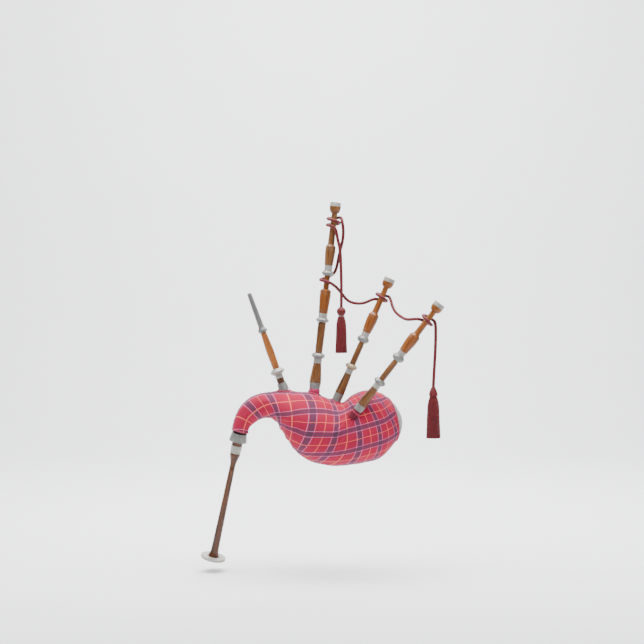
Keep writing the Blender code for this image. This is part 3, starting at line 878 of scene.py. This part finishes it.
WAVE_SCALE = 11
RIPPLE_HEIGHT = 0.7 * MM
PUFF_FRAMES = 20
PUFF_LIMIT = 4 * MM
STITCH_PITCH = 6 * MM
STITCH_SIZE = (1.8 * MM, 0.55 * MM, 0.55 * MM)


def stock_entries():
    """Axis point, direction and radius of each stock or collar where it enters the cover."""
    entries = []
    for name, node in STOCK_ENTRIES.items():
        places = local_vertices(node, PIPES[name])
        low = min(p.z for p in places)
        high = max(p.z for p in places)
        depth = low if "ring" in node else low + 0.35 * (high - low)
        radius = max(math.hypot(p.x, p.y) for p in places)
        entries.append((PIPES[name], depth, radius))
    return entries


def wrinkle_field(points, turns):
    """How far the cloth stands out from the loft: puckers, folds and soft waves, in metres."""
    rows, columns = points.shape[:2]
    spine = points.mean(axis=1)
    along = lengths_along(spine)
    radius = np.linalg.norm(points - spine[:, None], axis=2)
    out = np.zeros((rows, columns))
    # The two panels meet in a sewn seam along the top and bottom edges.
    for seam in (0, math.pi):
        away = np.abs((turns - seam + math.pi) % (2 * math.pi) - math.pi)[None, :] * radius
        out -= SEAM_DEPTH * np.exp(-(away / SEAM_WIDTH) ** 2)
        wave = np.sin(along * 2 * math.pi / PUCKER_PITCH + 1.3 * np.sin(along * 47))[:, None]
        beside = np.exp(-away / PUCKER_REACH) * (1 - np.exp(-(away / (3 * MM)) ** 2))
        out += PUCKER_HEIGHT * wave * beside
    # The inside of the neck's bend is in compression, so the cloth folds across it.
    bend = np.exp(-((along - NECK_BEND_AT) / NECK_BEND_REACH) ** 2)[:, None]
    inner = np.clip(-np.cos(turns), 0, 1)[None, :] ** 2
    folds = np.sin(along * 2 * math.pi / NECK_FOLD_PITCH)[:, None]
    out += FOLD_HEIGHT * bend * inner * folds
    # Folds run from each tied-in stock.
    flat = points.reshape(-1, 3)
    for matrix, depth, size in stock_entries():
        inverse = np.array(matrix.inverted())
        local = flat @ inverse[:3, :3].T + inverse[:3, 3]
        distance = np.clip(np.hypot(local[:, 0], local[:, 1]) - size, 0, None)
        near = np.abs(local[:, 2] - depth) < 0.08
        bearing = np.arctan2(local[:, 1], local[:, 0])
        fold = FOLD_HEIGHT * np.cos(STOCK_FOLDS * bearing + 0.8 * np.sin(3 * bearing))
        lift = STOCK_LIFT * np.exp(-distance / STOCK_LIFT_REACH)
        field = (fold * np.exp(-distance / STOCK_FOLD_REACH) + lift) * near
        out += field.reshape(rows, columns)
    # Soft large waves of a bag that isn't blown quite tight.
    for i in range(rows):
        for j in range(columns):
            place = Vector(points[i, j] * WAVE_SCALE)
            out[i, j] += WAVE_HEIGHT * noise.noise(place)
            out[i, j] += RIPPLE_HEIGHT * noise.noise(place * 2.7)
    return out


def add_attribute(mesh, name, values):
    made = mesh.attributes.new(name, "FLOAT_VECTOR", "POINT")
    made.data.foreach_set("vector", np.ascontiguousarray(values, dtype=np.float32).ravel())


def puff(mesh, pinned):
    """Blows the cloth up a little with Blender's cloth solver, by at most PUFF_LIMIT."""
    rest = np.empty(len(mesh.vertices) * 3)
    mesh.vertices.foreach_get("co", rest)
    rest = rest.reshape(-1, 3)
    work = bpy.data.objects.new("cloth_work", mesh.copy())
    bpy.context.scene.collection.objects.link(work)
    group = work.vertex_groups.new(name="pins")
    group.add([int(i) for i in pinned], 1.0, "REPLACE")
    cloth = work.modifiers.new("cloth", "CLOTH")
    cloth.settings.quality = 5
    cloth.settings.mass = 0.3
    cloth.settings.tension_stiffness = 25
    cloth.settings.compression_stiffness = 25
    cloth.settings.bending_stiffness = 0.4
    cloth.settings.use_pressure = True
    cloth.settings.uniform_pressure_force = 4
    cloth.settings.vertex_group_mass = "pins"
    cloth.settings.effector_weights.gravity = 0
    cloth.point_cache.frame_start = 1
    cloth.point_cache.frame_end = PUFF_FRAMES
    scene = bpy.context.scene
    for step in range(1, PUFF_FRAMES + 1):
        scene.frame_set(step)
    depsgraph = bpy.context.evaluated_depsgraph_get()
    blown = np.empty(len(mesh.vertices) * 3)
    work.evaluated_get(depsgraph).data.vertices.foreach_get("co", blown)
    scene.frame_set(1)
    bpy.data.objects.remove(work)
    move = blown.reshape(-1, 3) - rest
    size = np.linalg.norm(move, axis=1, keepdims=True)
    move *= np.minimum(1, PUFF_LIMIT / np.maximum(size, 1e-9))
    mesh.vertices.foreach_set("co", (rest + move).ravel())
    mesh.update()


def make_cover():
    """The tartan cover: two panels sewn along the top and the bottom edge."""
    points, turns = loft(COVER_SECTIONS, COVER_ROWS, COVER_COLUMNS)
    weave, cloth = cloth_coordinates(points, turns)
    normals = grid_normals(points)
    points = points + normals * wrinkle_field(points, turns)[:, :, None]
    mesh = grid_mesh("bag_cover", points)
    add_attribute(mesh, "weave", weave)
    add_attribute(mesh, "cloth", cloth)
    ends = np.arange(COVER_COLUMNS)
    last = (COVER_ROWS - 1) * COVER_COLUMNS
    puff(mesh, np.concatenate([ends, ends + last]))
    surface = BVHTree.FromPolygons([v.co for v in mesh.vertices],
                                   [list(face.vertices) for face in mesh.polygons])
    cut_stock_holes(mesh, STOCK_ENTRIES)
    smooth(mesh, 70)
    piece = add_piece("tartan_cover", mesh, "tartan", "bag_cover")
    thickened(piece, 1.8 * MM)
    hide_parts("bag_cover")
    make_stock_hems(surface)
    return points


def make_seams(points):
    """Stitches along the two seams, a hem at the tail and a hem at the neck."""
    for name, column in (("top_seam", 0), ("bottom_seam", COVER_COLUMNS // 2)):
        line = points[2:-2, column]
        make_stitches(f"{name}_stitches", line, grid_normals(points)[2:-2, column])
    for name, row in (("tail_hem", -2), ("neck_hem", 2)):
        ring = points[row]
        tube("cover_" + name, np.vstack([ring, ring[:1]]), 0.0016, "binding", "bag_cover")


def cut_stock_holes(mesh, names):
    """Opens the cloth or hide inside each stock, where the air goes through."""
    with editing(mesh) as work:
        inside = set()
        for name, (matrix, depth, radius) in zip(STOCK_ENTRIES, stock_entries()):
            if name not in names:
                continue
            inverse = matrix.inverted()
            reach = HOLE_REACH_SLANTING if name == "outer_tenor" else HOLE_REACH
            for face in work.faces:
                place = inverse @ face.calc_center_median()
                away = math.hypot(place.x, place.y)
                if away < HOLE_SHARE * radius and abs(place.z - depth) < reach:
                    inside.add(face)
        bmesh.ops.delete(work, geom=list(inside), context="FACES")


def make_stock_hems(surface):
    """A rolled hem of cloth where the cover meets each stock or collar."""
    make_collar_foot(surface)
    for name, (matrix, depth, radius) in zip(STOCK_ENTRIES, stock_entries()):
        if name == "outer_tenor":
            continue
        down = -(matrix.to_3x3() @ Vector((0, 0, 1)))
        line = []
        for step in range(HEM_STEPS + 1):
            angle = 2 * math.pi * step / HEM_STEPS
            reach = radius + 0.4 * HEM_RADIUS
            start = on_circle(matrix, angle, reach, depth + HEM_SEARCH)
            hit = surface.ray_cast(start, down, HEM_SEARCH_LENGTH)[0]
            if hit is not None:
                line.append(tuple(hit))
        tube(f"{name}_stock_hem", np.array(line), HEM_RADIUS, "binding", "bag_cover")


def make_collar_foot(surface):
    """Cloth from the slanting collar's lower rim down to the nearest points of the cover."""
    node = "outer_tenor_cover_collar"
    matrix = PIPES["outer_tenor"]
    places = local_vertices(node, matrix)
    low = min(p.z for p in places)
    radius = max(math.hypot(p.x, p.y) for p in places)
    rows = []
    line = []
    for step in range(HEM_STEPS * 2):
        angle = math.pi * step / HEM_STEPS
        gather = 1 + 0.02 * math.cos(13 * angle)
        rim = on_circle(matrix, angle, radius * gather, low + 4 * MM)
        near, out = surface.find_nearest(rim)[:2]
        foot = near + out * 0.4 * MM
        rows.append([tuple(rim.lerp(foot, share) + out * 1.8 * MM * math.sin(math.pi * share))
                     for share in np.linspace(0, 1, 9)])
        line.append(tuple(foot))
    points = np.array(rows).transpose(1, 0, 2)
    mesh = grid_mesh("collar_foot", points)
    smooth(mesh, 60)
    thickened(add_piece("outer_tenor_collar_foot", mesh, "collar_dark", node), MM)
    tube("outer_tenor_stock_hem", np.array(line + line[:1]), 0.0014, "binding", "bag_cover")


def make_stitches(name, line, normals):
    """Short raised thread stitches side by side along a seam."""
    lengths = lengths_along(line)
    mesh = bpy.data.meshes.new(name)
    with editing(mesh) as work:
        for count in range(1, int(lengths[-1] / STITCH_PITCH)):
            at = count * STITCH_PITCH
            place = Vector(sampled(line, lengths, at))
            ahead = Vector(sampled(line, lengths, at + MM))
            out = Vector(sampled(normals, lengths, at)).normalized()
            along = (ahead - place).normalized()
            turn = Matrix((along, along.cross(out), out)).transposed().to_4x4()
            turn.translation = place + out * 0.6 * MM
            size = Matrix.Diagonal((*STITCH_SIZE, 1))
            bmesh.ops.create_icosphere(work, subdivisions=2, radius=1, matrix=turn @ size)
    mesh.shade_smooth()
    return add_piece(name, mesh, "binding", "bag_cover")


def make_hide():
    """The hide bag inside; its sewn tail shows past the cover."""
    points, _ = loft(COVER_SECTIONS + TAIL_SECTIONS, HIDE_ROWS, HIDE_COLUMNS, HIDE_INSET)
    normals = grid_normals(points)
    for i in range(points.shape[0]):
        for j in range(points.shape[1]):
            wave = noise.noise(Vector(points[i, j] * 30))
            points[i, j] += normals[i, j] * 0.0008 * wave
    mesh = grid_mesh("hide_bag", points)
    with editing(mesh) as work:
        work.faces.new(work.verts[-HIDE_COLUMNS:])
    cut_stock_holes(mesh, ("bass", "inner_tenor", "blowpipe"))
    smooth(mesh, 50)
    piece = add_piece("hide_bag_fine", mesh, "hide", "hide_bag")
    thickened(piece, 2 * MM)
    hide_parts("hide_bag")


# ---------------------------------------------------------------- cord and tassels

def turn_points(pipe, start, end, from_bearing, sweep):
    """Points on a turn of the cord round a pipe; bearing 0 is right, 90 is behind."""
    steps = max(1, round(abs(sweep) / 45))
    points = []
    for i in range(steps + 1):
        share = i / steps
        bearing = math.radians(from_bearing + sweep * share)
        station = (start + (end - start) * share) * MM
        points.append(on_circle(pipe, bearing, CORD_TURN_RADIUS, -station))
    return points


def knot_top(name):
    """The point where the cord enters a tassel's knot."""
    low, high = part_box(f"{name}_tassel_knot")
    return Vector(((low[0] + high[0]) / 2, (low[1] + high[1]) / 2, high[2]))


def cord_route():
    """The route of the CAD cord, from the inner tassel to the outer one, in metres."""
    def free(*points):
        return [Vector(point) * MM for point in points]

    inner = knot_top("inner")
    outer = knot_top("outer")
    route = [inner] + free((4, -12, 420), (3, -12, 480), (0, -13, 540), (-8, -14, 574))
    route += turn_points(PIPES["bass"], 75, 41, 290, -650)
    route += free((6, -13, 627), (10, -9, 601), (9, -2, 573), (2, 4, 545), (-5, 4, 513),
                  (-10, 10, 487), (-19, 22, 468), (-38, 26, 459), (-60, 12, 452), (-56, -10, 449),
                  (-40, -16, 446), (-20, -12, 436), (-3, 3, 420), (10, 6, 404),
                  (22, 5, 388), (45, 3, 380), (72, 4, 380), (90, 9, 389))
    route += turn_points(PIPES["inner_tenor"], 73, 50, 150, -510)
    route += free((160, -24, 360), (178, -42, 341), (196, -80, 331), (213, -106, 333))
    route += turn_points(PIPES["outer_tenor"], 72, 50, 150, -510)
    route += free((276, -118, 298), (275, -119, 250), (272, -118, 193)) + [outer]
    drop = Vector((0, 0, CORD_INTO_KNOT))
    return [inner - drop] + route + [outer - drop]


def even_points(line, step):
    """Points about step apart along a line, and the line's length."""
    lengths = lengths_along(line)
    at = np.linspace(0, lengths[-1], round(lengths[-1] / step) + 1)
    return sampled(line, lengths, at), lengths[-1]


def dense_curve(route, step):
    """Even points along a Catmull-Rom curve through the route, eased as in the CAD part."""
    values = np.array([tuple(point) for point in route])
    line, _ = even_points(catmull(values, np.linspace(0, 1, 24 * len(route))), EASE_STEP)
    for _ in range(EASE_PASSES):
        line[1:-1] = (line[:-2] + 2 * line[1:-1] + line[2:]) / 4
    return even_points(line, step)


def sweep_frames(points):
    """Side and up vectors carried along a line without twist."""
    tangents = np.gradient(points, axis=0)
    tangents /= np.linalg.norm(tangents, axis=1, keepdims=True)
    side = np.cross(tangents[0], (0.0, 1.0, 0.1))
    side /= np.linalg.norm(side)
    sides = []
    for tangent in tangents:
        side = side - tangent * np.dot(side, tangent)
        side = side / np.linalg.norm(side)
        sides.append(side)
    sides = np.array(sides)
    return sides, np.cross(tangents, sides)


def rope_mesh(name, points, radius, strands=3, lay=CORD_LAY, columns=24):
    """A twisted rope: round strands that wind about the line."""
    sides, ups = sweep_frames(points)
    lengths = lengths_along(points)
    angles = np.linspace(0, 2 * math.pi, columns, endpoint=False)
    phase = strands / 2 * (angles[None, :] - 2 * math.pi * lengths[:, None] / lay)
    reach = radius * (0.92 + 0.14 * np.abs(np.cos(phase)))
    ring = (sides[:, None] * (reach * np.cos(angles))[:, :, None]
            + ups[:, None] * (reach * np.sin(angles))[:, :, None])
    mesh = grid_mesh(name, points[:, None] + ring)
    add_attribute(mesh, "lay", np.stack([phase / math.pi, lengths[:, None] / lay + 0 * phase,
                                         0 * phase], axis=2))
    cap_ends(mesh, columns)
    smooth(mesh, 80)
    return mesh


def cap_ends(mesh, columns):
    """Closes a tube whose rings have this many columns."""
    with editing(mesh) as work:
        work.faces.new(work.verts[:columns])
        work.faces.new(work.verts[-columns:])
        bmesh.ops.recalc_face_normals(work, faces=work.faces)


def tube(name, line, radius, material, node):
    """A thin rope of two strands along a line, used for hems and ties."""
    lengths = lengths_along(line)
    at = np.linspace(0, lengths[-1], int(lengths[-1] / THREAD_STEP))
    points = sampled(line, lengths, at)
    mesh = rope_mesh(name, points, radius, strands=2, lay=THREAD_LAY, columns=10)
    return add_piece(name, mesh, material, node)


def make_cord():
    """The three-strand cord from one tassel to the other."""
    points, length = dense_curve(cord_route(), CORD_STEP)
    mesh = rope_mesh("drone_cord", points, CORD_DIAMETER / 2)
    piece = add_piece("twisted_cord", mesh, "cord_silk", "drone_cord")
    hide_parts("drone_cord")


def spiral_ripple(strands, lean, depth):
    """Radius change of yarn wound round a knot."""
    def ripple(heights, angles, radii):
        wave = np.abs(np.sin((angles * strands + heights * lean) / 2))
        return -depth * (1 - wave) * np.minimum(1, radii / 0.006)
    return ripple


def make_tassel(name, flat_knot):
    """A tassel: wound knot, binding and a skirt of hanging yarns."""
    top = knot_top(name)
    matrix = Matrix.Translation(top)
    knot_node = f"{name}_tassel_knot"
    skirt_node = f"{name}_tassel_skirt"
    low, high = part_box(knot_node)
    tall = high[2] - low[2]
    wide = (high[0] - low[0]) / 2
    if flat_knot:
        shares = [(0, 0.08), (0.02, 0.3), (0.12, 0.46), (0.36, 0.7), (0.6, 0.88), (0.8, 0.98),
                  (0.93, 1), (0.985, 0.97), (1, 0.6), (1, 0.02)]
    else:
        shares = [(0, 0.06), (0.03, 0.25), (0.1, 0.5), (0.22, 0.78), (0.36, 0.95), (0.5, 1),
                  (0.64, 0.96), (0.78, 0.83), (0.9, 0.66), (0.985, 0.57), (1, 0.5), (1, 0.02)]
    loop = rounded_loop([(-share * tall, reach * wide) for share, reach in shares], closed=False)
    mesh = lathe_mesh(knot_node, loop, FINE_SIDES, closed=False,
                      ripple=spiral_ripple(16, 420, 0.0011))
    paint_lay(mesh, 9, 60)
    knot = add_piece(f"{name}_knot_fine", mesh, "tassel_silk", knot_node, matrix)
    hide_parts(knot_node)
    skirt = make_skirt(name, skirt_node, top, matrix)
    return [knot, skirt]


def paint_lay(mesh, turns, pitch):
    """Writes the yarn's direction on a wound or hanging piece, for its material."""
    places = np.array([tuple(v.co) for v in mesh.vertices])
    angle = np.arctan2(places[:, 1], places[:, 0]) / (2 * math.pi)
    lay = np.stack([angle * turns + places[:, 2] * pitch, places[:, 2] * pitch, 0 * angle], axis=1)
    add_attribute(mesh, "lay", lay)


def make_skirt(name, node, top, matrix):
    """Yarns hanging in three layers from the neck, over a soft core."""
    low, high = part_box(node)
    start = high[2] - top.z
    length = high[2] - low[2]
    neck = 0.0085 if name == "inner" else 0.0095
    hem = (high[0] - low[0]) / 2 - 0.0008
    pick = random.Random(7 if name == "inner" else 8)
    mesh = bpy.data.meshes.new(node)
    core = length * CORE_SHARE
    with editing(mesh) as work:
        for reach, count, thick in YARN_LAYERS:
            for index in range(count):
                bearing = 2 * math.pi * (index + 0.4 * pick.random()) / count
                sway = 0.5 * MM * pick.uniform(-1, 1)
                short = length * (1 - 0.02 * pick.random())
                add_yarn(work, bearing, start, short, neck * reach, hem * reach, thick, sway)
        bmesh.ops.create_cone(work, cap_ends=True, segments=24, radius1=hem * 0.62,
                              radius2=neck * 0.8, depth=core,
                              matrix=Matrix.Translation((0, 0, start - core / 2)))
        for turn in range(3):
            add_band(work, start - (3.5 + 2.2 * turn) * MM, neck + 0.6 * MM, 1.1 * MM)
    paint_lay(mesh, 70, 12)
    smooth(mesh, 60)
    piece = add_piece(f"{name}_skirt_fine", mesh, "tassel_silk", node, matrix)
    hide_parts(node)
    return piece


def add_yarn(work, bearing, start, length, neck, hem, thick, sway):
    """One yarn as a six-sided tube from the neck to the hem."""
    rings = []
    for i in range(YARN_STEPS + 1):
        share = i / YARN_STEPS
        swell = min(1, share / 0.12)
        shoulder = neck + (0.55 * (hem - neck)) * math.sin(min(1, share / 0.3) * math.pi / 2)
        reach = shoulder + (hem - neck) * 0.45 * share
        angle = bearing + sway * 60 * math.sin(share * 5 + bearing * 3)
        middle = Vector((math.cos(angle) * reach, math.sin(angle) * reach, start - length * share))
        middle.x += sway * math.sin(share * 9)
        out = Vector((math.cos(angle), math.sin(angle), 0))
        side = Vector((-math.sin(angle), math.cos(angle), 0))
        size = thick * (0.75 + 0.25 * swell)
        turns = [2 * math.pi * k / 6 + share * 9 for k in range(6)]
        rings.append([work.verts.new(middle + out * size * math.cos(t) + side * size * math.sin(t))
                      for t in turns])
    join_rings(work, rings)
    work.faces.new(rings[0])
    work.faces.new(rings[-1][::-1])


def join_rings(work, rings):
    """Faces between each ring of vertices and the next."""
    for a, b in zip(rings, rings[1:]):
        for k in range(len(a)):
            n = (k + 1) % len(a)
            work.faces.new((a[k], b[k], b[n], a[n]))


def add_band(work, height, radius, thick):
    """A ring of binding thread."""
    rings = []
    for i in range(BAND_STEPS):
        angle = 2 * math.pi * i / BAND_STEPS
        out = Vector((math.cos(angle), math.sin(angle), 0))
        rings.append([work.verts.new(out * (radius + thick * math.cos(t))
                                     + Vector((0, 0, height + thick * math.sin(t))))
                      for t in (2 * math.pi * k / 8 for k in range(8))])
    join_rings(work, rings + rings[:1])


# ---------------------------------------------------------------- collars

def make_collar(node, material, folds):
    """The cover gathered round a stock and bound with thread."""
    matrix = pipe_of(node)
    outer = silhouette(node, matrix)
    inner = silhouette(node, matrix, inside=True)
    top, bottom = outer[0], outer[-1]
    height = top[0] - bottom[0]
    shares = [(0, 0.93), (0.05, 1.0), (0.12, 0.985), (0.2, 0.93), (0.28, 0.93), (0.38, 0.985),
              (0.55, 1.0), (0.8, 1.0), (1, 1.0)]
    loop = [(top[0] - share * height, top[1] * reach) for share, reach in shares]
    loop = rounded_loop(loop + inner[::-1])

    def gathers(heights, angles, radii):
        bound = np.exp(-((heights - (top[0] - 0.24 * height)) / 0.0025) ** 2)
        wave = np.cos(folds * angles + 0.7 * np.sin(3 * angles))
        outside = radii > inner[0][1] + 0.0004
        return -0.0009 * (1 - wave) * (1 - 0.7 * bound) * outside

    mesh = lathe_mesh(node, loop, COLLAR_SIDES, ripple=gathers)
    piece = add_piece(node + "_fine", mesh, material, node, matrix)
    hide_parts(node)
    line = []
    for i in range(TIE_TURNS * TIE_STEPS + 1):
        turns = i / TIE_STEPS
        drop = 0.2 * height + TIE_PITCH * turns
        line.append(tuple(on_circle(matrix, 2 * math.pi * turns, top[1] * 0.955, top[0] - drop)))
    tube(node + "_tie", np.array(line), TIE_RADIUS, "binding", node)


# ---------------------------------------------------------------- studio

def make_studio():
    """Camera, soft lamps, and a pale floor that curves up into the backdrop."""
    scene = bpy.context.scene
    camera_data = bpy.data.cameras.new("camera")
    camera_data.sensor_width = SENSOR_WIDTH
    camera_data.lens = SENSOR_WIDTH * CAMERA_DISTANCE / VIEW_WIDTH
    camera = bpy.data.objects.new("camera", camera_data)
    scene.collection.objects.link(camera)
    camera.location = (VIEW_CENTRE[0], -CAMERA_DISTANCE, VIEW_CENTRE[1])
    camera.rotation_euler = (math.pi / 2, 0, 0)
    scene.camera = camera

    world = bpy.data.worlds.new("studio")
    world.use_nodes = True
    background = world.node_tree.nodes["Background"]
    background.inputs["Color"].default_value = WORLD_COLOUR
    background.inputs["Strength"].default_value = WORLD_STRENGTH
    scene.world = world

    for name, place, power, size, aim in LAMPS:
        light = bpy.data.lights.new(name, "AREA")
        light.energy = power
        light.size = size
        lamp = bpy.data.objects.new(name, light)
        scene.collection.objects.link(lamp)
        lamp.location = place
        lamp.rotation_euler = (Vector(aim) - Vector(place)).to_track_quat("-Z", "Y").to_euler()

    shader = Shader("floor", 0.9)
    speckle = shader.grain(1, 3, 2)
    shader.set(Base_Color=shader.mix(speckle, "EDEEF1", "F1F2F4"))
    shader.set(Specular_IOR_Level=0.1)
    low = cad_box[0][2] - FLOOR_GAP
    wall = FLOOR_BEND_START + FLOOR_BEND
    profile = [(-FLOOR_REACH, low)]
    profile += [(FLOOR_BEND_START + FLOOR_BEND * math.sin(a), low + FLOOR_BEND * (1 - math.cos(a)))
                for a in np.linspace(0, math.pi / 2, 24)]
    profile += [(wall, low + FLOOR_REACH)]
    points = np.array([[(x, y, z) for x in (-FLOOR_REACH, FLOOR_REACH)] for y, z in profile])
    mesh = grid_mesh("floor", points, wrap=False)
    mesh.shade_smooth()
    mesh.materials.append(shader.material)
    floor = bpy.data.objects.new("floor", mesh)
    scene.collection.objects.link(floor)


# ---------------------------------------------------------------- all of it
# Pieces with a function of their own; the valve, the reeds and the hemp stay as in CAD.
NOT_TURNED = {"bag_cover", "hide_bag", "drone_cord", "chanter", "blowpipe_valve",
              "bass_cover_collar", "outer_tenor_cover_collar"}


def main():
    make_studio()
    tassels = make_tassel("inner", False) + make_tassel("outer", True)
    make_cord()
    for node in sorted(frame["nodes"]):
        if node not in NOT_TURNED and not any(word in node for word in ("tassel", "reed", "hemp")):
            make_turned(node)
    for node, thing in frame["nodes"].items():
        thing.data.materials.clear()
        thing.data.materials.append(MATERIALS[SLOT_OF[node]])
    make_chanter()
    make_collar("bass_cover_collar", "collar_cloth", 15)
    make_collar("outer_tenor_cover_collar", "collar_dark", 13)
    make_seams(make_cover())
    make_hide()


main()
